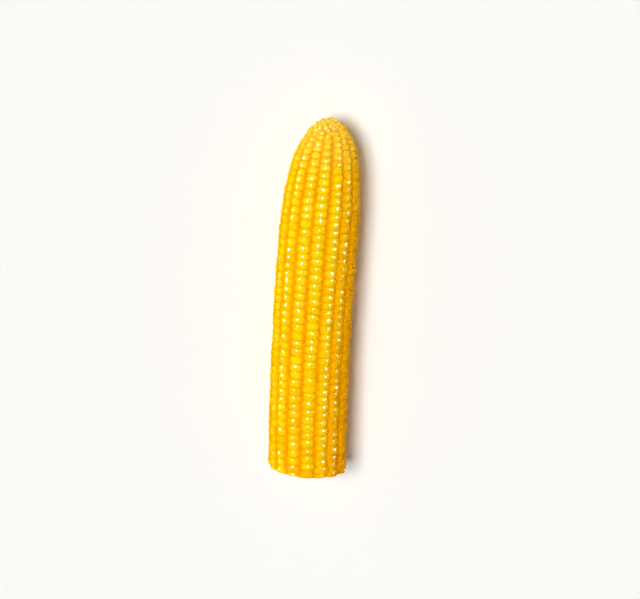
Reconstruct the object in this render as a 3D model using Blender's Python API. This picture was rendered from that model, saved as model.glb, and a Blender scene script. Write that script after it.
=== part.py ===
"""Sweet corn cob, husked and trimmed, lying on its side on a table.

The cob grew as one piece, so it is one solid: sixteen rows of kernels round an ear with a rounded tip
and a flat cut at the butt. Metres, +Z up. The origin is on the surface that the cob lies on, under the
middle of its footprint, and +Y points from the cut butt to the tip.
"""

import math

import bmesh
import bpy
import numpy as np

# Driving dimensions of the ear, measured over the kernel crowns
LENGTH = 0.200  # from the cut butt to the tip
RADIUS = 0.0221  # along the straight middle
CUT_RADIUS = 0.0206  # of the flat cut face at the butt
SHOULDER = 0.0045  # length over which the butt rounds out to the full radius
SHOULDER_POWER = 2.2
TAPER_START = 0.105  # from the butt to where the ear begins to taper
TAPER_POWER = 4.0  # higher is blunter
TIP_RADIUS = 0.0015  # of the last ring, which a small cap closes
BOW = 0.0028  # how far the middle of the ear leans towards -X

# Kernels
ROWS = 16
PAIR_SPACING = math.radians(21.5)  # rows stand in pairs, a little closer than the even spacing
KERNEL_PITCH = 0.0045  # along a row, on the straight middle
SMALLEST_KERNEL = 0.5  # share of the full size, where the rows run together at the tip
PAIR_GROOVE = 0.0013  # depth of the groove inside a pair of rows
OUTER_GROOVE = 0.0017  # depth of the groove between two pairs
SEAM = 0.0008  # depth of the seam between two kernels of one row

PROFILE_POINTS = 2000
EVEN_SPACING = 2 * math.pi / ROWS
DOWN = -math.pi / 2


def crown_radius(along):
    """Radius over the crowns at a distance from the butt: a rounded shoulder, a straight middle, a blunt taper."""
    to_middle = np.clip(1 - along / SHOULDER, 0, 1)
    shoulder = (1 - to_middle**SHOULDER_POWER) ** (1 / SHOULDER_POWER)
    tapered = np.clip((along - TAPER_START) / (LENGTH - TAPER_START), 0, 1)
    return (CUT_RADIUS + (RADIUS - CUT_RADIUS) * shoulder) * np.sqrt(1 - tapered**TAPER_POWER)


def ring_stations():
    """Where the rings of vertices stand, two to a kernel: (along, radius, normal along, normal outwards, size)."""
    turn = np.linspace(0, math.pi, PROFILE_POINTS)
    along = LENGTH * (1 - np.cos(turn)) / 2
    radius = crown_radius(along)
    kept = (radius > TIP_RADIUS) | (along < LENGTH / 2)
    along, radius = along[kept], radius[kept]

    step_along, step_out = np.diff(along), np.diff(radius)
    step = np.hypot(step_along, step_out)
    size = np.clip((radius / RADIUS) ** 0.6, SMALLEST_KERNEL, 1)
    kernels = np.concatenate([[0], np.cumsum(step / (KERNEL_PITCH * (size[1:] + size[:-1]) / 2))])
    stations = np.linspace(0, kernels[-1], round(2 * kernels[-1]) + 1)

    normal_along = -np.append(step_out, step_out[-1]) / np.append(step, step[-1])
    normal_out = np.append(step_along, step_along[-1]) / np.append(step, step[-1])
    columns = [np.interp(stations, kernels, values) for values in (along, radius, normal_along, normal_out, size)]
    return list(zip(*columns))


def row_angle(row):
    """Angle of a row's centre line. The first pair stands under the ear, one row each side of its lowest line."""
    pair, side = divmod(row, 2)
    return DOWN + pair * 2 * EVEN_SPACING + (side - 0.5) * PAIR_SPACING


def column_angles():
    """Two columns of vertices to a row: its centre line, and the groove on its far side."""
    centres = [row_angle(row) for row in range(ROWS + 1)]
    return [angle for a, b in zip(centres, centres[1:]) for angle in (a, (a + b) / 2)]


def drop_below_crown(column, ring, size):
    """How far a vertex lies below the crowns: nothing on a crown, more in a seam, most in a groove."""
    row, in_groove = divmod(column, 2)
    if in_groove:
        depth = PAIR_GROOVE if row % 2 == 0 else OUTER_GROOVE
    else:
        depth = SEAM * ((row + ring) % 2)  # the kernels of neighbouring rows stand half a kernel apart
    return depth * size


def bowed_centre(along):
    """How far the ear's centre line stands to -X at a distance from the butt."""
    from_middle = 2 * along / LENGTH - 1
    return -BOW * (1 - from_middle**2)


def add_ring(bm, ring, station):
    """One closed ring of vertices. The first ring stays in the plane of the cut."""
    along, radius, normal_along, normal_out, size = station
    if ring == 0:
        normal_along, normal_out = 0.0, 1.0
    verts = []
    for column, angle in enumerate(column_angles()):
        drop = drop_below_crown(column, ring, size)
        out = radius - drop * normal_out
        place = along - drop * normal_along
        verts.append(bm.verts.new((bowed_centre(along) + out * math.cos(angle), place, out * math.sin(angle))))
    return verts


def cob_mesh():
    """The ear's skin, ring by ring from the butt to the tip, closed by the cut face and the tip's cap."""
    bm = bmesh.new()
    rings = [add_ring(bm, ring, station) for ring, station in enumerate(ring_stations())]
    for near, far in zip(rings, rings[1:]):
        for column in range(len(near)):
            beside = (column + 1) % len(near)
            bm.faces.new((near[column], near[beside], far[beside], far[column]))
    bm.faces.new(rings[0])
    tip = bm.verts.new((0, LENGTH, 0))
    for column in range(len(rings[-1])):
        bm.faces.new((rings[-1][column], rings[-1][(column + 1) % len(rings[-1])], tip))
    bmesh.ops.recalc_face_normals(bm, faces=bm.faces)
    mesh = bpy.data.meshes.new("corn_cob")
    bm.to_mesh(mesh)
    bm.free()
    mesh.shade_smooth()
    return mesh


def kernel_skin():
    """Cooked sweetcorn: a warm yellow skin with a wet gloss."""
    material = bpy.data.materials.new("kernel_skin")
    material.use_nodes = True
    shader = material.node_tree.nodes["Principled BSDF"]
    shader.inputs["Base Color"].default_value = (0.93, 0.51, 0.01, 1)
    shader.inputs["Roughness"].default_value = 0.25
    shader.inputs["Metallic"].default_value = 0.0
    return material


def stand_on_origin(cob):
    """Sets the cob down so that its footprint is centred on the origin and its lowest crowns touch the surface."""
    corners = np.array([vertex.co for vertex in cob.data.vertices])
    low, high = corners.min(axis=0), corners.max(axis=0)
    cob.location = (-(low[0] + high[0]) / 2, -(low[1] + high[1]) / 2, -low[2])


def build():
    for old in list(bpy.data.objects):
        bpy.data.objects.remove(old)
    cob = bpy.data.objects.new("corn_cob", cob_mesh())
    cob.data.materials.append(kernel_skin())
    bpy.context.scene.collection.objects.link(cob)
    stand_on_origin(cob)


build()
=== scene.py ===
"""Sweet corn cob, husked and trimmed, lying on its side on a pale studio table.

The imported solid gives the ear's place and size. Here it gets its skin: sixteen rows of kernels, each row one
closed body, small unripe kernels on the tip, and the woody axis, which shows on the sawn butt and deep
between the rows. Metres, +Z up, +Y from the butt to the tip.
"""
import math

import bpy
import numpy as np
from mathutils import Matrix, Vector


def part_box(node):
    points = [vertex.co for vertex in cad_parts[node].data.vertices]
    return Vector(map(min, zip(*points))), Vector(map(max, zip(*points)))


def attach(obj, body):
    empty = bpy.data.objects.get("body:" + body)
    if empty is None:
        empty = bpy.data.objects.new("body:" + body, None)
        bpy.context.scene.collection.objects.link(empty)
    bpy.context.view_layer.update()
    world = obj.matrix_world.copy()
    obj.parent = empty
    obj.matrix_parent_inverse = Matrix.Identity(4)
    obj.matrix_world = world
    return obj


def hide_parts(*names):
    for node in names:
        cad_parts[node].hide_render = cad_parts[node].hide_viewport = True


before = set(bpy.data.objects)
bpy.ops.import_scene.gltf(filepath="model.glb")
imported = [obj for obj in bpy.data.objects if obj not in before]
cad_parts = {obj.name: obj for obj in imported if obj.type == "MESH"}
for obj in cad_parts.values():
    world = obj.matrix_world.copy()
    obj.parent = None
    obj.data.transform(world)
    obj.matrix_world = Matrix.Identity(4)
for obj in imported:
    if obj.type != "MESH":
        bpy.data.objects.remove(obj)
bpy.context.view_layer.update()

bl_info = {
    "name": "Sweet corn cob",
    "version": (1, 0, 0),
    "blender": (4, 5, 0),
    "location": "3D View > Sidebar > Corn",
    "description": "Grows a trimmed sweet corn cob, kernel by kernel, and sets it on a studio table",
    "category": "Add Mesh",
}

LOW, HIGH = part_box("corn_cob")

# The ear's form over the crowns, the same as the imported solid's
PAIR_SPACING = math.radians(21.5)  # rows stand in pairs, a little closer than the even spacing
LENGTH = HIGH[1] - LOW[1]
RADIUS = (HIGH[2] - LOW[2]) / 2 / math.cos(PAIR_SPACING / 2)
AXIS_HEIGHT = (LOW[2] + HIGH[2]) / 2
TAPER_START = 0.525  # share of the length, from the butt
TAPER_POWER = 4.0  # higher is blunter
BOW = 0.014 * LENGTH  # how far the middle of the ear leans towards -X
BUTT_DRAWN_IN = 0.01  # share of the radius that the crowns lose at the cut
BUTT_STRETCH = 0.0035  # over which they lose it
PROFILE_POINTS = 3000
DOWN = -math.pi / 2

KERNEL_SEED = 11
TIP_SEED = 5
AXIS_SEED = 3


def linear(hex_colour):
    """The linear RGB of an sRGB hex colour."""
    steps = (int(hex_colour[i : i + 2], 16) / 255 for i in (1, 3, 5))
    return tuple(s / 12.92 if s <= 0.04045 else ((s + 0.055) / 1.055) ** 2.4 for s in steps)


def opaque(colour):
    """A linear colour with its alpha."""
    return (*colour, 1)


def colour_property(name, description, hex_colour):
    """A colour that a user may change, as a property."""
    return bpy.props.FloatVectorProperty(
        name=name, description=description, default=linear(hex_colour),
        min=0, max=1, size=3, subtype="COLOR",
    )


def length_property(name, description, metres):
    """A length that a user may change, as a property."""
    return bpy.props.FloatProperty(
        name=name, description=description, default=metres,
        min=0, unit="LENGTH", subtype="DISTANCE", precision=5,
    )


def angle_property(name, description, degrees):
    """An angle that a user may change, as a property."""
    return bpy.props.FloatProperty(
        name=name, description=description, default=math.radians(degrees), subtype="ANGLE"
    )


def strength_property(name, description, strength):
    """How strong a light is, as a property."""
    return bpy.props.FloatProperty(name=name, description=description, default=strength, min=0)


class CornEarSettings(bpy.types.PropertyGroup):
    """Sizes of the kernels."""

    rows: bpy.props.IntProperty(
        name="Rows", description="Rows of kernels round the ear", default=16, min=8, max=24
    )
    pitch: length_property("Kernel pitch", "From one kernel to the next along a row", 0.0045)
    groove: length_property("Groove depth", "How far a kernel falls away to the rows beside it", 0.0019)
    seam: length_property("Seam depth", "How far a kernel falls away to its neighbours in the row", 0.00042)
    row_end: length_property("Row end radius", "Radius of the ear where unripe kernels take over", 0.0098)
    unevenness: bpy.props.FloatProperty(
        name="Unevenness", description="How much kernels differ in size, height and tilt",
        default=1.0, min=0, max=3,
    )


class CornColourSettings(bpy.types.PropertyGroup):
    """Colours of the finishes."""

    crown: colour_property("Crown", "Kernel skin on the crown", "#FBD80C")
    # painted shade: the groove colour paints in the orange of light come back through the flesh, and the shade
    # between rows
    groove: colour_property("Groove", "Kernel skin down in the grooves", "#FAA700")
    pale: colour_property("Unripe", "Kernel skin at the tip", "#FFCC46")
    flesh: colour_property("Flesh", "Inside of a sawn kernel", "#FFD042")
    pith: colour_property("Pith", "Spongy middle of the cob", "#FFF1D2")
    wood: colour_property("Wood", "Hard ring of the cob", "#EECB8A")
    table: colour_property("Table", "Studio table", "#F4F4F2")


class CornStudioSettings(bpy.types.PropertyGroup):
    """Camera and lights."""

    lens: bpy.props.FloatProperty(
        name="Lens", description="Focal length", default=135, min=20, unit="CAMERA"
    )
    distance: length_property("Camera distance", "From the camera to the ear's middle", 1.334)
    tilt: angle_property("Camera tilt", "From straight above towards the tip", 14)
    side: angle_property("Camera side", "Round the ear from straight above", 10)
    lean: angle_property("Lean", "How far the ear leans to the right in the view", 3.9)
    key_strength: strength_property("Key", "Bright lamp above", 2.85)
    glint_strength: strength_property("Glints", "Lamps that show only in gloss", 12.0)
    ambient: strength_property("Ambient", "Strength of the room's light", 0.95)


# ---------------------------------------------------------------- the ear's form


def ear_profile():
    """The line over the crowns from the butt to the pole of the tip.

    radius = full * sqrt(1 - t ** TAPER_POWER), where t runs from 0 where the taper starts to 1 at the pole,
    less a little that dies away from the cut. The points crowd towards the pole, where the line turns in.
    Returns arrays: distance from the butt, radius, arc length, and the line's unit tangent along and out.
    """
    turn = np.linspace(0, math.pi / 2, PROFILE_POINTS)
    along = LENGTH * np.sin(turn)
    tapered = np.clip((along / LENGTH - TAPER_START) / (1 - TAPER_START), 0, 1)
    drawn_in = BUTT_DRAWN_IN * np.exp(-along / BUTT_STRETCH)
    radius = RADIUS * np.sqrt(np.clip(1 - tapered**TAPER_POWER, 0, 1)) * (1 - drawn_in)
    step_along, step_out = np.diff(along), np.diff(radius)
    step = np.hypot(step_along, step_out)
    arc = np.concatenate([[0], np.cumsum(step)])
    rise = np.append(step_along, 0) / np.append(step, 1)
    spread = np.append(step_out / step, -1)
    return along, radius, arc, rise, spread


def bow_at(along):
    """How far the ear's centre line stands off to the side, before the ear is centred in its box."""
    from_middle = 2 * along / LENGTH - 1
    return -BOW * (1 - from_middle**2)


ALONG, CROWN_RADIUS, ARC, RISE, SPREAD = ear_profile()
SIDE_REACH = CROWN_RADIUS * math.cos(PAIR_SPACING / 2)
SIDES = np.array([(bow_at(ALONG) - SIDE_REACH).min(), (bow_at(ALONG) + SIDE_REACH).max()])
CENTRED = (LOW[0] + HIGH[0]) / 2 - SIDES.mean()


def on_ear(arc, angle):
    """Points over the crowns, with their own axes: across the row, along it to the tip, and out of the ear.

    A point is the bowed centre line plus the radius, turned by the angle. Out is the surface's normal and
    across = along x out. Before the butt the line goes straight on, for the kernels that the saw cut.
    """
    here = np.clip(arc, 0, ARC[-1])
    line = (ALONG, CROWN_RADIUS, RISE, SPREAD)
    along_ear, radius, rise, spread = (np.interp(here, ARC, values) for values in line)
    cos, sin = np.cos(angle), np.sin(angle)
    centre = CENTRED + bow_at(along_ear)
    point = np.stack([centre + radius * cos, LOW[1] + along_ear, AXIS_HEIGHT + radius * sin], -1)
    along = np.stack([spread * cos, rise, spread * sin], -1)
    out = np.stack([rise * cos, -spread, rise * sin], -1)
    point += along * (arc - here)[:, None]
    return point, np.cross(along, out), along, out


# ---------------------------------------------------------------- building meshes


def tube_mesh(name, rings, start, end, values):
    """A closed body from rings of points, an array of (rings, columns, 3), with a pole at each end.

    Columns run to the right seen along the rings with the outside up, so the faces point outwards. Values
    are what the material reads at each point, as arrays that spread over (rings, columns). The start pole
    goes on in line from the means of the first two rings, and the end pole takes the mean of the last one.
    """
    count, columns = rings.shape[:2]
    index = np.arange(count * columns).reshape(count, columns)
    beside = np.roll(index, -1, axis=1)
    quads = np.stack([index[:-1], beside[:-1], beside[1:], index[1:]], -1).reshape(-1, 4)
    start_pole, end_pole = (np.full(columns, index.size + pole) for pole in (0, 1))
    first = np.stack([start_pole, beside[0], index[0]], -1)
    last = np.stack([index[-1], beside[-1], end_pole], -1)
    points = np.concatenate([rings.reshape(-1, 3), [start, end]])
    mesh = bpy.data.meshes.new(name)
    mesh.from_pydata(points, [], [*quads.tolist(), *first.tolist(), *last.tolist()])
    for key, array in values.items():
        array = np.broadcast_to(array, (count, columns))
        means = array.mean(axis=1)
        write_value(mesh, key, np.concatenate([array.ravel(), [2 * means[0] - means[1], means[-1]]]))
    return mesh


def write_value(mesh, key, array):
    """Writes one number for each point of a mesh."""
    numbers = np.asarray(array, np.float32).ravel()
    mesh.attributes.new(key, "FLOAT", "POINT").data.foreach_set("value", numbers)


def subdivide(piece):
    """Rounds a piece with one level of Catmull-Clark subdivision, which becomes its mesh."""
    smooth = piece.modifiers.new("rounding", "SUBSURF")
    smooth.levels = smooth.render_levels = 1
    graph = bpy.context.evaluated_depsgraph_get()
    rounded = bpy.data.meshes.new_from_object(
        piece.evaluated_get(graph), preserve_all_data_layers=True, depsgraph=graph
    )
    net, name = piece.data, piece.data.name
    piece.modifiers.clear()
    piece.data = rounded
    bpy.data.meshes.remove(net)
    rounded.name = name


def shade(mesh, sharp_from):
    """Shades a mesh smooth, apart from the edges that turn by more than an angle."""
    mesh.shade_smooth()
    mesh.set_sharp_from_angle(angle=sharp_from)


def add_piece(name, mesh, material):
    """Puts a piece of the cob into the scene, at the origin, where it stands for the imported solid."""
    piece = bpy.data.objects.new(name, mesh)
    bpy.context.scene.collection.objects.link(piece)
    mesh.materials.append(material)
    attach(piece, "root")
    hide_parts("corn_cob")
    return piece


# ---------------------------------------------------------------- how kernels differ

MOST_SPREADS = 2  # no kernel is further off than this many standard deviations
KERNEL_SPREAD = {  # how far one kernel of a row differs from the next, as a standard deviation
    "lift": 0.00012,
    "nod": 0.035,
    "side": 0.010,
    "lean": 0.045,
    "slant": 0.035,
    "groove": 0.05,
    "seam": 0.12,
    "tone": 0.2,
    "wet": 0.42,
}
TIP_SPREAD = {"size": 0.11, "side": 0.07, "lift": 0.0002, "tilt": 0.12}  # the same on the tip
TONE = 0.5  # of a middling kernel, from 0, dark, to 1, light
WETNESS = 0.64  # of a middling kernel, where 1 is running wet
GROWTH_POWER = 0.6  # lower keeps kernels large for longer where the ear narrows
LEAST_GROWTH = 0.5


def uneven(rng, spread, count):
    """How far each of a number of kernels is off: normal around 0, cut off at the most that is allowed."""
    most = MOST_SPREADS * spread
    return np.clip(rng.normal(0, spread, count), -most, most)


def kernel_tones(rng, count):
    """The tone of each of a number of kernels."""
    return np.clip(TONE + rng.normal(0, KERNEL_SPREAD["tone"], count), 0, 1)


def growth_at(radius):
    """Size of a kernel against a full one: (radius / RADIUS) ** GROWTH_POWER, and never tiny."""
    return np.clip((radius / RADIUS) ** GROWTH_POWER, LEAST_GROWTH, 1)


# ---------------------------------------------------------------- rows of kernels

# Across a row
FOOT_SHARE = 0.96  # of the half width
DOME_SHARES = np.array([-1, -0.8, -0.5, -0.3, 0, 0.3, 0.5, 0.8, 1])
ACROSS = np.concatenate([[-FOOT_SHARE], DOME_SHARES, [FOOT_SHARE]])  # from foot to foot over the crown
IS_FOOT = np.isin(np.arange(len(ACROSS)), (0, len(ACROSS) - 1))
DOME_POWER = 2.0  # of the fall from the crown to the grooves
FOOT_DEPTH = 0.42  # of the ear's radius, below the crowns
PRESS = 1.08  # rows are this much wider than their share of the ear, so that they press together
ROW_WAVES = ((0.00006, 0.017), (0.00014, 0.045))  # height and length of the waves in which a row wanders
WANDER_RADIUS = 0.004  # where the ear is thinner than this, a row wanders no further round it

# Along a row
KERNEL_RINGS = np.array([-0.85, -0.5, 0, 0.5, 0.85, 1.0])  # shares of a kernel's half length, up to its seam
SEAM_POWER = 2.2  # of the fall from the crown to the seams
CREASE = 0.00012  # how much deeper the seam itself cuts
SEAM_FLARE = 0.25  # how much deeper a seam is at the row's edges
CORNER = 0.025  # share of its width that a kernel loses at the seam
CORNER_POWER = 4
SEAM_WANDER = 0.06  # of the pitch
FIRST_CUT = 0.05  # of a kernel, which the saw takes at least
STAGGER = 0.45  # of a kernel, by which every other row stands nearer to the butt
CUT_WANDER = 0.08  # of a kernel, which the saw takes more of some
END_WANDER = 0.9  # of a kernel, by which rows end later than others
NEAREST_RING = 0.0004  # to the cut

# The ends of a row, at the butt and at the tip
BUTT_REACH = 0.010  # over which the unevenness of the kernels by the cut dies away
TIP_REACH = 0.026  # over which the kernels of a row turn small and pale before it ends
BUTT_WILDNESS, TIP_WILDNESS = 1.6, 1.2  # how much more kernels differ there
BUTT_SEAMS, TIP_SEAMS = 0.5, 1.3  # how much deeper the seams are there
ROW_UNRIPENESS = 0.6  # of a row's last kernel, where 1 is the palest of the tip
CLOSING_FALL, CLOSING_FALL_POWER = 0.0016, 2.5
CLOSING_PINCH, CLOSING_PINCH_POWER = 0.35, 3
END_DEPTH = 0.001  # of the pole that closes a row, below its last ring
SAWN_SHARES = np.array([0.35, 0.72, 0.93])  # of a sawn kernel's section: rings inside its skin
SAWN_SINK = 0.00025
SAWN_UNEVEN = (0.4, 1.6)  # shares of that, from the least to the most

# What the skin shows
SEAM_SHADE = 0.5  # painted shade: share of the groove's colour put down in a seam
GLOSS_SHARES = (0.1, 0.32)  # of the half width: glossy up to the first, and dull past the second
GLOSS_FADES = (0.5, 1)  # of the way down into a seam
GLOSS_IN_SEAM = 0.3
ROW_SHARP_FROM = math.radians(35)


def row_angle(row, rows):
    """Angle of a row's centre line. The first pair stands under the ear, each side of its lowest line."""
    pair, side = divmod(row, 2)
    return DOWN + pair * 4 * math.pi / rows + (side - 0.5) * PAIR_SPACING


def half_spacings(row, rows):
    """Half the angle to the row beside it, at each place across a row: its partner in the pair is nearer."""
    outer = 4 * math.pi / rows - PAIR_SPACING
    to_left, to_right = (PAIR_SPACING, outer) if row % 2 == 0 else (outer, PAIR_SPACING)
    return np.where(ACROSS < 0, to_left, to_right) / 2


def row_ends(row_end):
    """How far along the crown line the rows end, where its radius has fallen to row_end."""
    tip_half = ALONG > LENGTH / 2
    return np.interp(-row_end, -CROWN_RADIUS[tip_half], ARC[tip_half])


def row_seams(rng, row, settings):
    """Distances along the crown line of one row's seams, from just before the saw cut to the row's end.

    Seams stand at equal steps of the integral of 1 / (pitch * growth), each moved a little. Neighbouring
    rows are nearly half a kernel apart, and no kernel by the cut is left as a thin slice.
    """
    kernels = np.diff(ARC) / (settings.pitch * growth_at(CROWN_RADIUS[1:]))
    steps = np.concatenate([[0], np.cumsum(kernels)])
    first = -FIRST_CUT - STAGGER * (row % 2) - CUT_WANDER * rng.random()
    last = np.interp(row_ends(settings.row_end), ARC, steps) + END_WANDER * rng.random()
    seams = np.arange(first, last, 1)
    seams[1:] += rng.uniform(-SEAM_WANDER, SEAM_WANDER, len(seams) - 1) * settings.unevenness
    return np.interp(seams, steps, ARC) + np.minimum(seams, 0) * settings.pitch


def row_rings(row, settings):
    """The rings of one row from the saw cut to its end, as arrays by name with one number for each ring.

    A kernel has its own height, width, tilt, tone and wetness. Its rings hold them, and the ring in a seam
    holds the mean of its two kernels. A ring at a share s of the half length lies seam * |s| ** SEAM_POWER
    below the crown, and the ring in the seam a crease below that. Over the last half kernel, closing runs
    from 0 to 1, and there the row falls CLOSING_FALL * closing ** CLOSING_FALL_POWER more and loses
    CLOSING_PINCH * closing ** CLOSING_PINCH_POWER of its width.
    """
    rng = np.random.default_rng([KERNEL_SEED, row])
    seams = row_seams(rng, row, settings)
    middle, half = (seams[1:] + seams[:-1]) / 2, np.diff(seams) / 2
    count = len(middle)
    butt = np.exp(-np.maximum(middle, 0) / BUTT_REACH)
    unripe = np.clip(1 - (row_ends(settings.row_end) - middle) / TIP_REACH, 0, 1)
    wild = settings.unevenness * (1 + BUTT_WILDNESS * butt + TIP_WILDNESS * unripe)

    def vary(key):
        return uneven(rng, KERNEL_SPREAD[key], count) * wild

    lift, nod = vary("lift"), vary("nod") * half
    kernel = {
        "left": 1 + vary("side"),
        "right": 1 + vary("side"),
        "lean": vary("lean"),
        "slant": vary("slant"),
        "groove": settings.groove * (1 + vary("groove")),
        "seam": settings.seam * (1 + vary("seam") + BUTT_SEAMS * butt + TIP_SEAMS * unripe),
        "tone": kernel_tones(rng, count),
        "wet": np.clip(rng.normal(WETNESS, KERNEL_SPREAD["wet"], count), 0, 1),
        "unripe": unripe * ROW_UNRIPENESS,
    }
    share = np.tile(KERNEL_RINGS, count)
    inside = share < 1
    rings = {key: to_rings(values, values) for key, values in kernel.items()}
    rings["lift"] = to_rings(lift + nod, lift - nod)
    rings["lift"][inside] = (lift[:, None] + nod[:, None] * KERNEL_RINGS[:-1]).ravel()
    rings["arc"] = (middle[:, None] + half[:, None] * KERNEL_RINGS).ravel()
    closing = np.clip((rings["arc"] - middle[-1]) / half[-1], 0, 1)
    rings["sunk"] = abs(share) ** SEAM_POWER
    fall = CLOSING_FALL * closing**CLOSING_FALL_POWER
    rings["seam"] = rings["seam"] * rings["sunk"] + np.where(inside, 0, CREASE) + fall
    rings["pinch"] = 1 - CORNER * share**CORNER_POWER - CLOSING_PINCH * closing**CLOSING_PINCH_POWER
    kept = rings["arc"] > NEAREST_RING
    return {key: np.concatenate([[np.interp(0, rings["arc"], v)], v[kept]]) for key, v in rings.items()}


def to_rings(towards_tip, towards_butt):
    """One number for each ring of a row: a kernel's own, and in a seam the mean of the two that meet."""
    values = np.repeat(towards_tip[:, None], len(KERNEL_RINGS), axis=1)
    values[:-1, -1] = (towards_tip[:-1] + towards_butt[1:]) / 2
    return values.ravel()


def row_places(rng, row, settings, ring):
    """The points of one row's rings, and the pole that closes its end: a domed section carried up the ear.

    At a share x of the half width the section stands groove * |x| ** 2 + seam * (1 + SEAM_FLARE * x ** 2)
    below the crown, times the kernels' growth, and then goes down both sides to the foot. It narrows
    towards the ear's axis as a wedge does.
    """
    arc = ring["arc"][:, 0]
    radius = np.interp(arc, ARC, CROWN_RADIUS)
    growth = growth_at(radius)[:, None]
    waves = zip(ROW_WAVES, rng.random(len(ROW_WAVES)) * 2 * math.pi)
    wander = sum(height * np.sin(arc / length + phase) for (height, length), phase in waves)
    angle = row_angle(row, settings.rows) + wander / np.maximum(radius, WANDER_RADIUS)
    point, across, along, out = (part[:, None, :] for part in on_ear(arc, angle))

    radius = radius[:, None]
    seam = ring["seam"] * (1 + SEAM_FLARE * ACROSS**2)
    drop = growth * (ring["groove"] * abs(ACROSS) ** DOME_POWER + seam)
    height = np.where(IS_FOOT, -FOOT_DEPTH * radius, growth * ring["lift"] - drop)
    half_width = half_spacings(row, settings.rows) * radius * PRESS * ring["pinch"]
    half_width = half_width * np.where(ACROSS < 0, ring["left"], ring["right"])
    side = ACROSS * half_width * (1 + height / radius)
    height = height + ring["lean"] * side * ~IS_FOOT
    ahead = ring["slant"] * side
    places = point + across * side[..., None] + out * height[..., None] + along * ahead[..., None]
    places[0, :, 1] = LOW[1]
    places = np.maximum(places, (-math.inf, LOW[1], LOW[2]))  # not past the saw cut, nor into the table
    return places, places[-1].mean(axis=0) - out[-1, 0] * END_DEPTH


def row_mesh(name, row, settings):
    """One row of kernels as a closed body, sawn flat at the butt, with what the skin shows at each point.

    The sawn end has rings inside its skin, sunk a little, where the flesh shows. The skin takes the groove's
    painted shade as far as 1 - (1 - |x| ** 2) * (1 - SEAM_SHADE * sunk) says, and it is glossy on
    the crown as far as it is wet.
    """
    ring = {key: values[:, None] for key, values in row_rings(row, settings).items()}
    rng = np.random.default_rng([KERNEL_SEED, row, 1])
    places, end = row_places(rng, row, settings, ring)
    middle = places[0].mean(axis=0)
    sawn = middle + (places[0] - middle) * SAWN_SHARES[:, None, None]
    sawn[..., 1] += SAWN_SINK * rng.uniform(*SAWN_UNEVEN, sawn.shape[:2])
    middle[1] += SAWN_SINK

    groove_shade = np.where(IS_FOOT, 1, 1 - (1 - abs(ACROSS) ** DOME_POWER) * (1 - SEAM_SHADE * ring["sunk"]))
    gloss = ring["wet"] * np.interp(abs(ACROSS), GLOSS_SHARES, (1, 0))
    gloss = gloss * np.interp(ring["sunk"], GLOSS_FADES, (1, GLOSS_IN_SEAM))
    values = {"groove_shade": groove_shade, "gloss": gloss, "tone": ring["tone"], "unripe": ring["unripe"]}
    read_as = np.maximum(np.arange(-len(SAWN_SHARES), len(places)), 0)  # the sawn rings read as the first one
    values = {key: array[read_as] for key, array in values.items()}
    values["flesh"] = np.concatenate([1 - SAWN_SHARES, np.zeros(len(places))])[:, None]
    mesh = tube_mesh(name, np.concatenate([sawn, places]), middle, end, values)
    shade(mesh, ROW_SHARP_FROM)
    return mesh


# ---------------------------------------------------------------- kernels of the tip

NET_STEPS = 7  # points each way in a kernel's net, which gives 36 quads and one face that closes its foot
RING_REACH = (0, 0.47, 0.93, 0.96)  # of the kernel's half width: crown, shoulder, rim and foot
RIM_FROM, FOOT_FROM = 0.5, 0.9  # of the way from the crown to the foot
OUTLINE_POWER = 2.6  # 2 is an ellipse, higher is squarer
NEARLY_ZERO = 1e-9
FILL = 1.34  # kernels press together, and the subdivision draws the net in by about this much
GOLDEN_ANGLE = math.pi * (3 - math.sqrt(5))
TIP_SPACING = (0.0023, 0.0035)  # of the unripe kernels, at the pole and where the rows end
TIP_OVERLAP = 0.0026  # how far they reach in among the rows
TUCKED_FROM = 0.8  # of the way from the pole to the outermost kernels
TUCK = TIP_OVERLAP / 4  # how much lower those among the rows stand

# Shares of a kernel's size
TIP_DOME = 0.3
TIP_RIM_DROP = 0.1
TIP_FOOT_DEPTH = 0.8
TIP_DEEPEST = 0.5  # painted shade: the depth at which the skin has the groove's colour in full
TIP_WEDGE = 0.2

TIP_UNRIPENESS = (1, 0.65)  # at the pole and where the rows end
TIP_GLOSS_FADES = (0.4, 0.7)  # of the way from the crown to the foot
TIP_SHARP_FROM = math.radians(65)


def kernel_net():
    """The parameters of a kernel's net: its place in units of the half width and half length, and its ring.

    The grid runs from -1 to 1 both ways. A point's ring is the larger of its two distances from the middle,
    and a ring is the superellipse |x| ** p + |y| ** p = reach ** p, with OUTLINE_POWER as p, through the
    point's direction.
    """
    across, along = np.meshgrid(np.linspace(-1, 1, NET_STEPS), np.linspace(-1, 1, NET_STEPS))
    ring = np.maximum(abs(across), abs(along))
    norm = (abs(across) ** OUTLINE_POWER + abs(along) ** OUTLINE_POWER) ** (1 / OUTLINE_POWER)
    reach = np.interp(ring, np.linspace(0, 1, len(RING_REACH)), RING_REACH)
    x, y = (reach * part / np.maximum(norm, NEARLY_ZERO) for part in (across, along))
    return x.ravel(), y.ravel(), ring.ravel()


def net_faces():
    """The faces of one kernel: the quads of the grid, and one face round the foot, all facing out."""
    index = np.arange(NET_STEPS**2).reshape(NET_STEPS, NET_STEPS)
    quads = np.stack([index[:-1, :-1], index[:-1, 1:], index[1:, 1:], index[1:, :-1]], -1).reshape(-1, 4)
    rim = np.concatenate([index[0, :-1], index[:-1, -1], index[-1, :0:-1], index[:0:-1, 0]])
    return quads, rim[::-1]


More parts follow.
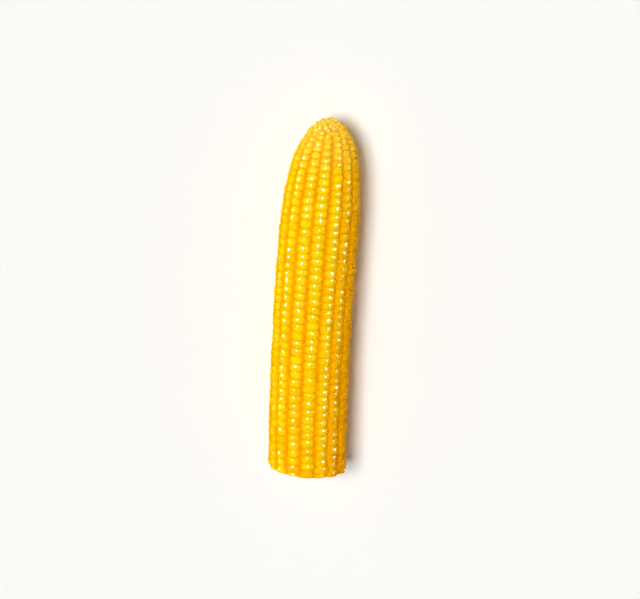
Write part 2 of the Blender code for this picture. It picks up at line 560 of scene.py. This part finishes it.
def tip_places(settings):
    """Where the unripe kernels stand, in a sunflower spiral round the pole.

    Kernel k stands a golden angle on from the one before, where the area from the pole, divided by the area
    of one kernel there, adds up to k. Returns arrays: distance from the pole, angle, size, and the share of
    the way out to the last kernel.
    """
    from_pole, radius = ARC[-1] - ARC[::-1], CROWN_RADIUS[::-1]
    reach = ARC[-1] - row_ends(settings.row_end) + TIP_OVERLAP
    spacing = np.interp(from_pole, [0, reach], TIP_SPACING)
    kernels = np.diff(from_pole) * 2 * math.pi * radius[1:] / spacing[1:] ** 2
    counts = np.concatenate([[0], np.cumsum(kernels)])
    number = np.arange(0.5, np.interp(reach, from_pole, counts), 1)  # each in the middle of its own area
    away = np.interp(number, counts, from_pole)
    return away, number * GOLDEN_ANGLE, np.interp(away, from_pole, spacing), away / reach


def tip_mesh(name, settings):
    """The kernels of the tip, each a closed body.

    A kernel falls TIP_DOME * (x ** 2 + y ** 2) of its size below its crown, and TIP_RIM_DROP more at the
    rim. Its foot stands TIP_FOOT_DEPTH of its size below the crown. It narrows downwards as a wedge does,
    and each kernel has its own size, height and tilt.
    """
    rng = np.random.default_rng(TIP_SEED)
    away, angle, size, outwards = tip_places(settings)
    count = len(away)

    def vary(key):
        return uneven(rng, TIP_SPREAD[key], count)[:, None] * settings.unevenness

    point, across, along, out = (part[:, None, :] for part in on_ear(ARC[-1] - away, angle))
    x, y, ring = kernel_net()
    size = size[:, None]
    fall = -TIP_DOME * size * (x**2 + y**2) - TIP_RIM_DROP * size * (ring > RIM_FROM)
    height = np.where(ring > FOOT_FROM, -TIP_FOOT_DEPTH * size, fall)
    groove_shade = np.clip(-height / size / TIP_DEEPEST, 0, 1)
    grown = 1 + vary("size")
    side = x * size / 2 * FILL * grown * (1 + vary("side")) * (1 + TIP_WEDGE * height / size)
    front = y * size / 2 * FILL * grown * (1 + vary("side"))
    height = height + vary("lift") + side * vary("tilt") + front * vary("tilt")
    height = height - TUCK * (outwards[:, None] > TUCKED_FROM)
    places = point + across * side[..., None] + along * front[..., None] + out * height[..., None]

    quads, foot = net_faces()
    first = (np.arange(count) * len(x))[:, None, None]
    faces = (first + quads).reshape(-1, 4).tolist() + (first[:, 0] + foot).tolist()
    mesh = bpy.data.meshes.new(name)
    mesh.from_pydata(places.reshape(-1, 3), [], faces)
    write_value(mesh, "groove_shade", groove_shade)
    write_value(mesh, "gloss", np.tile(np.interp(ring, TIP_GLOSS_FADES, (1, 0)), count))
    write_value(mesh, "tone", np.repeat(kernel_tones(rng, count), len(x)))
    write_value(mesh, "unripe", np.repeat(np.interp(outwards, (0, 1), TIP_UNRIPENESS), len(x)))
    write_value(mesh, "flesh", np.zeros(count * len(x)))
    return mesh


# ---------------------------------------------------------------- the woody axis

AXIS_COLUMNS = 128
AXIS_RINGS = 90  # under the kernels
FACE_RINGS = 40  # on the sawn face
PITH_RADIUS = 0.0052
WOOD_RADIUS = 0.0108
AXIS_DEPTH = 0.325  # of the ear's radius, below the crowns
AXIS_LEAST_DEPTH = 0.0012
AXIS_POLE_RADIUS = 0.0002
AXIS_POLE_LIFT = 0.0001
FACE_DEPTH = 0.001  # the whole sawn face lies nearer to the cut than this
FACE_START, FACE_EDGE = 0.0004, 0.0003  # from its middle to its first ring, and from its last to its rim
FACE_SUNK = (0.0009, 0.0007, 0.0002, 0.00015, 0.0005)  # the pith's middle and edge, the wood's edges, the rim
PITH_EDGES = (0.9, 1.1)  # of the pith's radius, where the face steps up to the wood
SAW_ROUGHNESS = 0.00005
RIB_HEIGHT, RIBS = 0.00012, 32  # torn ribs round the wood
AXIS_SHARP_FROM = math.radians(50)


def axis_profile():
    """The line of the woody axis: out over the sawn face, then up the ear under the kernels to its pole.

    Returns arrays: distance from the butt and radius. On the face the pith is sunk and the hard ring stands.
    """
    depth = AXIS_DEPTH * CROWN_RADIUS * (CROWN_RADIUS / RADIUS) ** 2 + AXIS_LEAST_DEPTH
    along = ALONG + depth * SPREAD
    radius = np.maximum(CROWN_RADIUS - depth * RISE, 0)
    keep = (along > FACE_DEPTH) & (radius > AXIS_POLE_RADIUS)
    picked = np.linspace(0, keep.sum() - 1, AXIS_RINGS).round().astype(int)
    along, radius = along[keep][picked], radius[keep][picked]
    face = np.linspace(FACE_START, radius[0] - FACE_EDGE, FACE_RINGS)
    marks = [0, *(PITH_RADIUS * edge for edge in PITH_EDGES), WOOD_RADIUS, radius[0]]
    sunk = np.interp(face, marks, FACE_SUNK)
    return np.concatenate([sunk, along]), np.concatenate([face, radius])


def axis_mesh(name):
    """The woody axis: its line carried round the ear, with torn ribs and saw marks on the face."""
    along, radius = axis_profile()
    angle = np.linspace(math.pi, -math.pi, AXIS_COLUMNS, endpoint=False)
    along, radius = (np.repeat(part[:, None], AXIS_COLUMNS, axis=1) for part in (along, radius))
    rough = np.random.default_rng(AXIS_SEED).normal(0, SAW_ROUGHNESS, radius.shape)
    ribs = RIB_HEIGHT * np.sin(angle * RIBS) * (radius > WOOD_RADIUS)
    along = along + np.where(along < FACE_DEPTH, abs(rough + ribs), 0)
    centre = CENTRED + bow_at(along)
    rings = [centre + radius * np.cos(angle), LOW[1] + along, AXIS_HEIGHT + radius * np.sin(angle)]
    rings = np.stack(rings, -1)
    start = rings[0].mean(axis=0)
    end = rings[-1].mean(axis=0) + (0, AXIS_POLE_LIFT, 0)
    mesh = tube_mesh(name, rings, start, end, {})
    shade(mesh, AXIS_SHARP_FROM)
    return mesh


# ---------------------------------------------------------------- materials

SMOOTH = {"interpolation_type": "SMOOTHSTEP"}
LINEAR = {"interpolation_type": "LINEAR"}
COLOUR = {"data_type": "RGBA"}

# Shades within the finishes; the shaded flank and the shaded ground are painted shade
RIPE_SKIN = opaque(linear("#FAC900"))
SHADED_FLANK = opaque(linear("#E89A00"))
LIGHT_KERNEL = opaque(linear("#FFD210"))
DARK_KERNEL = opaque(linear("#F7A400"))
GERM = opaque(linear("#FFE9A6"))
FIBRE_BUNDLES = opaque(linear("#FDE6B4"))
PITH_PORES = opaque(linear("#F8E3B6"))
PAPERY_RIM = opaque(linear("#FFE5A6"))
SHADED_GROUND = opaque(linear("#EDA01C"))
PAINT_SHADE = 0.985  # of the paint's colour, in the darker flecks of a fine noise over it

# Real sizes of the patterns
PATCH_SIZE = 0.018
WRINKLE_SIZE, WRINKLE_DEPTH = 0.0012, 0.0001
FIBRE_SIZE, FIBRE_DEPTH = 0.0006, 0.0002
FIBRE_ROUND = 14  # about this many fibre bundles to a radian
FIBRE_LENGTH = 0.006
PORE_SIZE = 0.0009
WAVER_SIZE, WAVER = 0.003, 0.0006  # of the edges of the cob's rings
GROUND_DEPTH = 0.0016  # from the cut, past which the axis is painted the orange of the shade between the kernels
PAINT_GRAIN = 0.002


def socket(sockets, key):
    """A node's socket by its identifier, or else by its name."""
    return next((found for found in sockets if found.identifier == key), None) or sockets[key]


def add_node(tree, kind, settings, inputs, output=None):
    """Adds a node with its settings and inputs, where an input is a value or another node's output.

    Returns the named output's socket, or the node if none is named.
    """
    node = tree.nodes.new(kind)
    for key, value in settings.items():
        setattr(node, key, value)
    for key, value in inputs.items():
        if isinstance(value, bpy.types.NodeSocket):
            tree.links.new(value, socket(node.inputs, key))
        else:
            socket(node.inputs, key).default_value = value
    return socket(node.outputs, output) if output else node


def lay_over(tree, colour, layers):
    """Lays colours one over the other, each coming in as its value goes from a start to a full mark.

    A layer is how it comes in, the value, the start, the full mark and the colour.
    """
    for how, value, start, full, over in layers:
        passed = {"Value": value, "From Min": start, "From Max": full}
        share = add_node(tree, "ShaderNodeMapRange", how, passed, "Result")
        both = {"Factor_Float": share, "A_Color": colour, "B_Color": over}
        colour = add_node(tree, "ShaderNodeMix", COLOUR, both, "Result_Color")
    return colour


def new_material(name, everywhere):
    """A new node material, its tree and its shader, with what is the same everywhere set on the shader."""
    material = bpy.data.materials.new(name)
    material.use_nodes = True
    tree = material.node_tree
    shader = tree.nodes["Principled BSDF"]
    for key, value in everywhere.items():
        shader.inputs[key].default_value = value
    return material, tree, shader


def cooked_kernel_skin(colours):
    """Cooked sweetcorn: a thin tight skin over wet flesh. Light sinks into the flesh and comes back orange
    in the grooves, an orange that is also painted into the skin there as painted shade, while the wet skin
    gives each crown one small hard highlight."""
    everywhere = {
        "Roughness": 0.35,
        "IOR": 1.4,
        "Specular IOR Level": 0.0,
        "Subsurface Weight": 0.3,
        "Subsurface Radius": (1.0, 0.85, 0.35),
        "Subsurface Scale": 0.0012,
        "Coat Roughness": 0.15,
        "Coat IOR": 1.5,
    }
    material, tree, shader = new_material("cooked_kernel_skin", everywhere)
    crown, groove, pale, flesh = map(opaque, (colours.crown, colours.groove, colours.pale, colours.flesh))
    place = add_node(tree, "ShaderNodeTexCoord", {}, {}, "Object")
    groove_shade, gloss, tone, unripe, inside = (
        add_node(tree, "ShaderNodeAttribute", {"attribute_name": key}, {}, "Fac")
        for key in ("groove_shade", "gloss", "tone", "unripe", "flesh")
    )
    sideways, lengthways = (
        add_node(tree, "ShaderNodeSeparateXYZ", {}, {"Vector": place}, axis) for axis in "XY"
    )

    # The ear ripens from the butt, so that end is deeper in colour, in patches a few kernels wide
    patches = {"Vector": place, "Scale": 1 / PATCH_SIZE, "Detail": 1.0}
    patches = add_node(tree, "ShaderNodeTexNoise", {}, patches, "Fac")
    ripe = {"Value": lengthways, "From Min": HIGH[1], "From Max": LOW[1], "To Min": -0.15, "To Max": 0.35}
    ripe = add_node(tree, "ShaderNodeMapRange", {}, ripe, "Result")
    ripe = add_node(tree, "ShaderNodeMath", {"operation": "ADD"}, {0: ripe, 1: patches}, "Value")

    layers = (
        (SMOOTH, ripe, 0.35, 1.0, RIPE_SKIN),
        (SMOOTH, sideways, 0.35 * RADIUS, 1.1 * RADIUS, SHADED_FLANK),  # painted shade: the +X flank, turned away from the key lamp, darker orange
        (SMOOTH, tone, 0.45, 1.5, LIGHT_KERNEL),  # each kernel has its own tone
        (SMOOTH, tone, 0.45, -0.5, DARK_KERNEL),
        (SMOOTH, groove_shade, 0.18, 0.85, groove),  # painted shade: grooves and seams take the orange of light that came back through the flesh, and of their shade
        (LINEAR, unripe, 0.0, 1.25, pale),
        (SMOOTH, inside, 0.0, 0.08, flesh),  # where the saw went through: flesh inside the skin
        (SMOOTH, inside, 0.3, 0.85, GERM),  # and the milky germ in its middle
    )
    tree.links.new(lay_over(tree, crown, layers), shader.inputs["Base Color"])

    wrinkles = {"Vector": place, "Scale": 1 / WRINKLE_SIZE, "Detail": 2.0, "Roughness": 0.5}
    wrinkles = add_node(tree, "ShaderNodeTexNoise", {}, wrinkles, "Fac")
    bump = {"Height": wrinkles, "Strength": 0.2, "Distance": WRINKLE_DEPTH}
    tree.links.new(add_node(tree, "ShaderNodeBump", {}, bump, "Normal"), shader.inputs["Normal"])
    wet = {"Value": gloss, "To Min": 0.0, "To Max": 0.35}
    tree.links.new(add_node(tree, "ShaderNodeMapRange", {}, wet, "Result"), shader.inputs["Coat Weight"])
    return material


def sawn_cob(colours):
    """Sawn cob, damp: a spongy white pith, a hard straw-coloured ring with the ends of its fibres, and a
    torn papery edge. Up the ear it is painted shade: the orange of the shaded ground between the kernels."""
    everywhere = {"Roughness": 0.6, "Subsurface Weight": 0.15, "Subsurface Scale": 0.001}
    material, tree, shader = new_material("sawn_cob", everywhere)
    pith, wood = map(opaque, (colours.pith, colours.wood))
    place = add_node(tree, "ShaderNodeTexCoord", {}, {}, "Object")
    lengthways = add_node(tree, "ShaderNodeSeparateXYZ", {}, {"Vector": place}, "Y")
    centre = (-(CENTRED + bow_at(0.0)), 0, -AXIS_HEIGHT)
    centred = add_node(tree, "ShaderNodeMapping", {}, {"Vector": place, "Location": centre}, "Vector")
    flat = {0: centred, 1: (1, 0, 1)}
    flat = add_node(tree, "ShaderNodeVectorMath", {"operation": "MULTIPLY"}, flat, "Vector")
    radius = add_node(tree, "ShaderNodeVectorMath", {"operation": "LENGTH"}, {0: flat}, "Value")

    # The rings' edges are not quite round
    waver = {"Vector": place, "Scale": 1 / WAVER_SIZE, "Detail": 2.0}
    waver = add_node(tree, "ShaderNodeTexNoise", {}, waver, "Fac")
    waver = {"Value": waver, "To Min": -WAVER, "To Max": WAVER}
    waver = add_node(tree, "ShaderNodeMapRange", {}, waver, "Result")
    radius = add_node(tree, "ShaderNodeMath", {"operation": "ADD"}, {0: radius, 1: waver}, "Value")

    # Fibre bundles run out from the pith: a pattern that changes fast round the axis and slowly outwards
    spokes = add_node(tree, "ShaderNodeVectorMath", {"operation": "NORMALIZE"}, {0: flat}, "Vector")
    spokes = {0: spokes, "Scale": FIBRE_ROUND}
    spokes = add_node(tree, "ShaderNodeVectorMath", {"operation": "SCALE"}, spokes, "Vector")
    outwards = {0: radius, 1: FIBRE_LENGTH}
    outwards = add_node(tree, "ShaderNodeMath", {"operation": "DIVIDE"}, outwards, "Value")
    spokes = {"Vector": spokes, "W": outwards, "Scale": 1.0, "Detail": 2.0}
    spokes = add_node(tree, "ShaderNodeTexNoise", {"noise_dimensions": "4D"}, spokes, "Fac")
    bundles = lay_over(tree, wood, [(SMOOTH, spokes, 0.35, 0.65, FIBRE_BUNDLES)])

    # Spongy pith: small pores
    pores = {"Vector": place, "Scale": 1 / PORE_SIZE}
    pores = add_node(tree, "ShaderNodeTexVoronoi", {}, pores, "Distance")
    pores = {"Factor_Float": pores, "A_Color": PITH_PORES, "B_Color": pith}
    pores = add_node(tree, "ShaderNodeMix", COLOUR, pores, "Result_Color")

    layers = (
        (SMOOTH, radius, 0.92 * PITH_RADIUS, 1.08 * PITH_RADIUS, bundles),
        (SMOOTH, radius, 0.96 * WOOD_RADIUS, 1.06 * WOOD_RADIUS, PAPERY_RIM),
        (SMOOTH, lengthways, LOW[1] + FACE_DEPTH, LOW[1] + GROUND_DEPTH, SHADED_GROUND),
    )
    tree.links.new(lay_over(tree, pores, layers), shader.inputs["Base Color"])

    fibres = {"Vector": place, "Scale": 1 / FIBRE_SIZE, "Detail": 3.0}
    fibres = add_node(tree, "ShaderNodeTexNoise", {}, fibres, "Fac")
    bump = {"Height": fibres, "Strength": 0.6, "Distance": FIBRE_DEPTH}
    tree.links.new(add_node(tree, "ShaderNodeBump", {}, bump, "Normal"), shader.inputs["Normal"])
    return material


def painted_table(colours):
    """Matt white painted board: rolled on, so its sheen is even."""
    material, tree, shader = new_material("painted_table", {"Roughness": 0.7, "Specular IOR Level": 0.0})
    place = add_node(tree, "ShaderNodeTexCoord", {}, {}, "Object")
    grain = {"Vector": place, "Scale": 1 / PAINT_GRAIN, "Detail": 2.0}
    grain = add_node(tree, "ShaderNodeTexNoise", {}, grain, "Fac")
    darker_paint = opaque(part * PAINT_SHADE for part in colours.table)
    paint = {"Factor_Float": grain, "A_Color": opaque(colours.table), "B_Color": darker_paint}
    paint = add_node(tree, "ShaderNodeMix", COLOUR, paint, "Result_Color")
    tree.links.new(paint, shader.inputs["Base Color"])
    return material


def material_once(make, colours):
    """A material made by its function, or the one that was made before."""
    return bpy.data.materials.get(make.__name__) or make(colours)


# ---------------------------------------------------------------- the stage

TABLE_HALF_WIDTH = 3.0
LAMP_DISTANCE = 2.0
KEY_TOWARDS = Vector((-0.13, 0.15, 0.98))
KEY_SPREAD = math.radians(26)
GLINT_ROWS = range(6, 11)  # the uppermost rows, which the camera sees best
GLINT_LOWEST = 0.1  # a lamp stands at least this much above the table, as a share of its distance
GLINT_TILT = math.radians(8)  # towards the tip, so that each kernel has its glint a little before its crown
GLINT_SPREAD = math.radians(16)
ROOM_BANDS = (0.15, 0.4)  # heights in the room between which its light falls off
OVERHEAD = 0.12  # of the room's full light, straight above
AIM = (0.0022, -0.0026)  # of the camera, to the right of and above the ear's middle


def lay_table(context):
    """The table: one flat face that the ear lies on."""
    half = TABLE_HALF_WIDTH
    corners = [(-half, -half, LOW[2]), (half, -half, LOW[2]), (half, half, LOW[2]), (-half, half, LOW[2])]
    mesh = bpy.data.meshes.new("table_top")
    mesh.from_pydata(corners, [], [(0, 1, 2, 3)])
    mesh.materials.append(material_once(painted_table, context.scene.corn_colours))
    table = bpy.data.objects.new("table_top", mesh)
    context.scene.collection.objects.link(table)


def add_lamp(context, name, towards, spread, strength):
    """A round distant lamp that shines on the ear from a direction, as wide across as its spread is."""
    lamp = bpy.data.lights.new(name, "SUN")
    lamp.angle = spread
    lamp.energy = strength
    stand = bpy.data.objects.new(name, lamp)
    stand.location = towards.normalized() * LAMP_DISTANCE
    stand.rotation_mode = "QUATERNION"
    stand.rotation_quaternion = towards.to_track_quat("Z", "Y")
    context.scene.collection.objects.link(stand)
    return stand


def camera_back(studio):
    """The direction from the ear to the camera."""
    level = math.cos(studio.tilt)
    return Vector((math.sin(studio.side) * level, math.sin(studio.tilt), math.cos(studio.side) * level))


def hang_lights(context):
    """A bright lamp above, a little to the left of the camera, and a small lamp for each uppermost row.

    A small lamp stands where its row's crowns mirror it to the camera: at 2 * (n . c) * n - c, where n is
    the crowns' direction and c the camera's, and never below the table. It shows only in gloss.
    """
    studio = context.scene.corn_studio
    key = add_lamp(context, "key_lamp", KEY_TOWARDS, KEY_SPREAD, studio.key_strength)
    key.visible_glossy = False
    back = camera_back(studio)
    level = math.cos(GLINT_TILT)
    for row in GLINT_ROWS:
        angle = row_angle(row, context.scene.corn_ear.rows)
        crown = Vector((math.cos(angle) * level, math.sin(GLINT_TILT), math.sin(angle) * level))
        towards = 2 * crown.dot(back) * crown - back
        towards.z = max(towards.z, GLINT_LOWEST)
        glint = add_lamp(context, f"glint_lamp_{row + 1:02d}", towards, GLINT_SPREAD, studio.glint_strength)
        glint.visible_diffuse = False


def light_room(context):
    """A white room, whose light falls from its full strength at the horizon to a little of it overhead."""
    world = bpy.data.worlds.new("white_room")
    world.use_nodes = True
    tree = world.node_tree
    background = tree.nodes["Background"]
    background.inputs["Color"].default_value = opaque((1, 1, 1))
    direction = add_node(tree, "ShaderNodeTexCoord", {}, {}, "Generated")
    height = add_node(tree, "ShaderNodeSeparateXYZ", {}, {"Vector": direction}, "Z")
    low, high = ROOM_BANDS
    share = {"Value": height, "From Min": low, "From Max": high, "To Min": 1.0, "To Max": OVERHEAD}
    share = add_node(tree, "ShaderNodeMapRange", SMOOTH, share, "Result")
    strength = {0: share, 1: context.scene.corn_studio.ambient}
    strength = add_node(tree, "ShaderNodeMath", {"operation": "MULTIPLY"}, strength, "Value")
    tree.links.new(strength, background.inputs["Strength"])
    context.scene.world = world
    context.scene.view_settings.view_transform = "Standard"


def stand_camera(context):
    """Looks down on the ear, tilted to the tip's side, so that the ear leans a little to the right."""
    studio = context.scene.corn_studio
    back = camera_back(studio)
    ear_up = (Vector((0, 1, 0)) - back * back.y).normalized()
    ear_right = ear_up.cross(back)
    right = ear_right * math.cos(studio.lean) + ear_up * math.sin(studio.lean)
    up = ear_up * math.cos(studio.lean) - ear_right * math.sin(studio.lean)
    aim = Vector((0, 0, AXIS_HEIGHT)) + right * AIM[0] + up * AIM[1]
    data = bpy.data.cameras.new("camera")
    data.lens = studio.lens
    camera = bpy.data.objects.new("camera", data)
    axes = Matrix((right, up, back)).transposed().to_4x4()
    camera.matrix_world = Matrix.Translation(aim + back * studio.distance) @ axes
    context.scene.collection.objects.link(camera)
    context.scene.camera = camera


# ---------------------------------------------------------------- operators and panel


class CORN_OT_kernel_rows(bpy.types.Operator):
    """Grow the rows of kernels, one piece for each row"""

    bl_idname = "corn.kernel_rows"
    bl_label = "Kernel Rows"
    bl_options = {"REGISTER", "UNDO"}

    def execute(self, context):
        settings = context.scene.corn_ear
        material = material_once(cooked_kernel_skin, context.scene.corn_colours)
        for row in range(settings.rows):
            name = f"kernel_row_{row + 1:02d}"
            add_piece(name, row_mesh(name, row, settings), material)
        return {"FINISHED"}


class CORN_OT_tip_kernels(bpy.types.Operator):
    """Grow the small unripe kernels that cover the tip"""

    bl_idname = "corn.tip_kernels"
    bl_label = "Tip Kernels"
    bl_options = {"REGISTER", "UNDO"}

    def execute(self, context):
        material = material_once(cooked_kernel_skin, context.scene.corn_colours)
        mesh = tip_mesh("tip_kernels", context.scene.corn_ear)
        piece = add_piece("tip_kernels", mesh, material)
        subdivide(piece)
        shade(piece.data, TIP_SHARP_FROM)
        return {"FINISHED"}


class CORN_OT_woody_axis(bpy.types.Operator):
    """Make the woody axis that the kernels stand on, with its sawn face at the butt"""

    bl_idname = "corn.woody_axis"
    bl_label = "Woody Axis"
    bl_options = {"REGISTER", "UNDO"}

    def execute(self, context):
        material = material_once(sawn_cob, context.scene.corn_colours)
        add_piece("woody_axis", axis_mesh("woody_axis"), material)
        return {"FINISHED"}


class CORN_OT_stage(bpy.types.Operator):
    """Set up the table, the lights and the camera"""

    bl_idname = "corn.stage"
    bl_label = "Studio Stage"
    bl_options = {"REGISTER", "UNDO"}

    def execute(self, context):
        lay_table(context)
        hang_lights(context)
        light_room(context)
        stand_camera(context)
        return {"FINISHED"}


class CORN_PT_panel(bpy.types.Panel):
    """The cob's settings and the operators that make it."""

    bl_idname = "CORN_PT_panel"
    bl_label = "Sweet Corn Cob"
    bl_space_type = "VIEW_3D"
    bl_region_type = "UI"
    bl_category = "Corn"

    def draw(self, context):
        for settings in (context.scene.corn_ear, context.scene.corn_colours, context.scene.corn_studio):
            box = self.layout.box()
            for key in settings.bl_rna.properties.keys():
                if key not in ("name", "rna_type"):
                    box.prop(settings, key)
        for operator in OPERATORS:
            self.layout.operator(operator.bl_idname)


OPERATORS = (CORN_OT_kernel_rows, CORN_OT_tip_kernels, CORN_OT_woody_axis, CORN_OT_stage)
CLASSES = (CornEarSettings, CornColourSettings, CornStudioSettings, *OPERATORS, CORN_PT_panel)


def register():
    for made in CLASSES:
        bpy.utils.register_class(made)
    bpy.types.Scene.corn_ear = bpy.props.PointerProperty(type=CornEarSettings)
    bpy.types.Scene.corn_colours = bpy.props.PointerProperty(type=CornColourSettings)
    bpy.types.Scene.corn_studio = bpy.props.PointerProperty(type=CornStudioSettings)


def unregister():
    del bpy.types.Scene.corn_studio, bpy.types.Scene.corn_colours, bpy.types.Scene.corn_ear
    for made in reversed(CLASSES):
        bpy.utils.unregister_class(made)


def main():
    register()
    bpy.ops.corn.kernel_rows()
    bpy.ops.corn.tip_kernels()
    bpy.ops.corn.woody_axis()
    bpy.ops.corn.stage()


if __name__ == "__main__":
    main()
